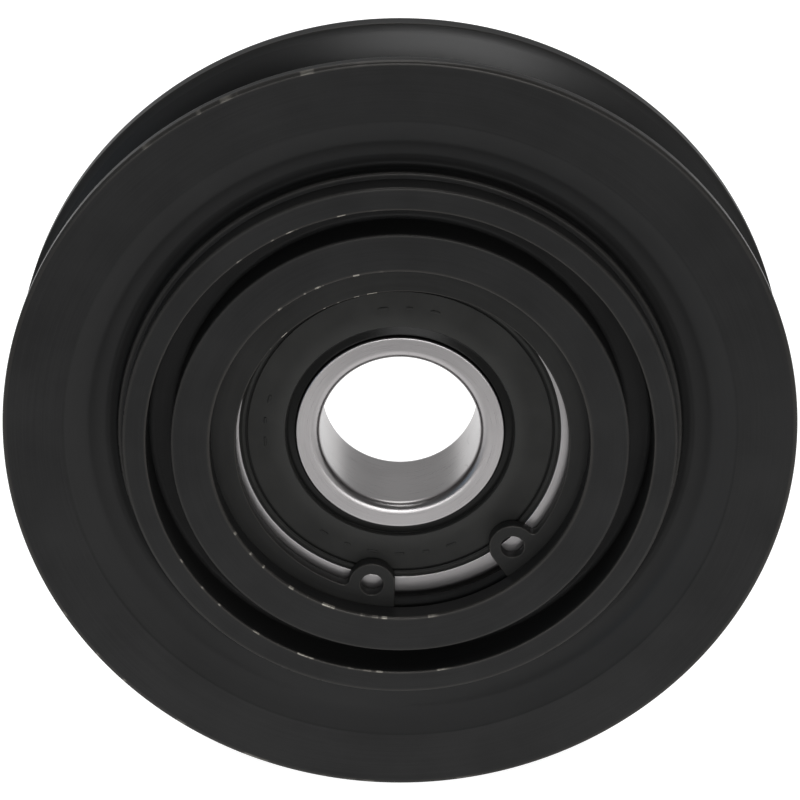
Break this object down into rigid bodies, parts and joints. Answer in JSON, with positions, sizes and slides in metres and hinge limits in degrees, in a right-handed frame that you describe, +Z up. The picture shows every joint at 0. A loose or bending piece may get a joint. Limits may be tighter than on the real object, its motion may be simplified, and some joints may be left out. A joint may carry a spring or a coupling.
{
  "type": "belt tensioner idler",
  "caption": "Idler pulley with a single V groove on a sealed ball bearing, held in the hub by an internal snap ring.",
  "frame": {"origin": "centre of the bearing's bore, in the bearing's middle plane", "axes": "+Y along the spin axis towards the rear; the snap ring's side, the front, faces -Y; +Z up"},
  "size_m": [0.0986, 0.0211, 0.0986],
  "materials": {
    "wheel_black_steel": "satin black coated steel with bright worn edges",
    "snap_ring_steel": "phosphated spring steel",
    "bearing_steel": "ground bearing steel",
    "ball_steel": "polished",
    "cage_steel": "pressed sheet steel",
    "rivet_steel": "headed steel",
    "seal_rubber": "moulded nitrile rubber",
    "insert_steel": "plain steel washer"
  },
  "bodies": {
    "bearing_shaft_side": {"bearing_inner_ring": "bearing_steel"},
    "pulley": {"pulley_wheel": "wheel_black_steel", "snap_ring": "snap_ring_steel", "bearing_outer_ring": "bearing_steel", "front_seal_rubber": "seal_rubber", "front_seal_insert": "insert_steel", "rear_seal_rubber": "seal_rubber", "rear_seal_insert": "insert_steel"},
    "cage": {"cage_front": "cage_steel", "cage_rear": "cage_steel", "cage_rivets": "rivet_steel"},
    "rolling_ball_1": {"ball_1": "ball_steel"},
    "rolling_ball_2": {"ball_2": "ball_steel"},
    "rolling_ball_3": {"ball_3": "ball_steel"},
    "rolling_ball_4": {"ball_4": "ball_steel"},
    "rolling_ball_5": {"ball_5": "ball_steel"},
    "rolling_ball_6": {"ball_6": "ball_steel"},
    "rolling_ball_7": {"ball_7": "ball_steel"},
    "rolling_ball_8": {"ball_8": "ball_steel"}
  },
  "joints": [
    {"name": "pulley_spin", "type": "hinge", "parent": "bearing_shaft_side", "child": "pulley", "pos_m": [0, 0, 0], "axis": [0, 1, 0], "continuous": true},
    {"name": "cage_spin", "type": "hinge", "parent": "bearing_shaft_side", "child": "cage", "pos_m": [0, 0, 0], "axis": [0, 1, 0], "continuous": true},
    {"name": "ball_1_spin", "type": "hinge", "parent": "cage", "child": "rolling_ball_1", "pos_m": [0, 0, 0.01675], "axis": [0, 1, 0], "continuous": true},
    {"name": "ball_2_spin", "type": "hinge", "parent": "cage", "child": "rolling_ball_2", "pos_m": [0.01184, 0, 0.01184], "axis": [0, 1, 0], "continuous": true},
    {"name": "ball_3_spin", "type": "hinge", "parent": "cage", "child": "rolling_ball_3", "pos_m": [0.01675, 0, 0], "axis": [0, 1, 0], "continuous": true},
    {"name": "ball_4_spin", "type": "hinge", "parent": "cage", "child": "rolling_ball_4", "pos_m": [0.01184, 0, -0.01184], "axis": [0, 1, 0], "continuous": true},
    {"name": "ball_5_spin", "type": "hinge", "parent": "cage", "child": "rolling_ball_5", "pos_m": [0, 0, -0.01675], "axis": [0, 1, 0], "continuous": true},
    {"name": "ball_6_spin", "type": "hinge", "parent": "cage", "child": "rolling_ball_6", "pos_m": [-0.01184, 0, -0.01184], "axis": [0, 1, 0], "continuous": true},
    {"name": "ball_7_spin", "type": "hinge", "parent": "cage", "child": "rolling_ball_7", "pos_m": [-0.01675, 0, 0], "axis": [0, 1, 0], "continuous": true},
    {"name": "ball_8_spin", "type": "hinge", "parent": "cage", "child": "rolling_ball_8", "pos_m": [-0.01184, 0, 0.01184], "axis": [0, 1, 0], "continuous": true}
  ],
  "couplings": [
    {"joint": "cage_spin", "follows": "pulley_spin", "ratio": 0.61848},
    {"joint": "ball_1_spin", "follows": "pulley_spin", "ratio": 1.9916},
    {"joint": "ball_2_spin", "follows": "pulley_spin", "ratio": 1.9916},
    {"joint": "ball_3_spin", "follows": "pulley_spin", "ratio": 1.9916},
    {"joint": "ball_4_spin", "follows": "pulley_spin", "ratio": 1.9916},
    {"joint": "ball_5_spin", "follows": "pulley_spin", "ratio": 1.9916},
    {"joint": "ball_6_spin", "follows": "pulley_spin", "ratio": 1.9916},
    {"joint": "ball_7_spin", "follows": "pulley_spin", "ratio": 1.9916},
    {"joint": "ball_8_spin", "follows": "pulley_spin", "ratio": 1.9916}
  ]
}
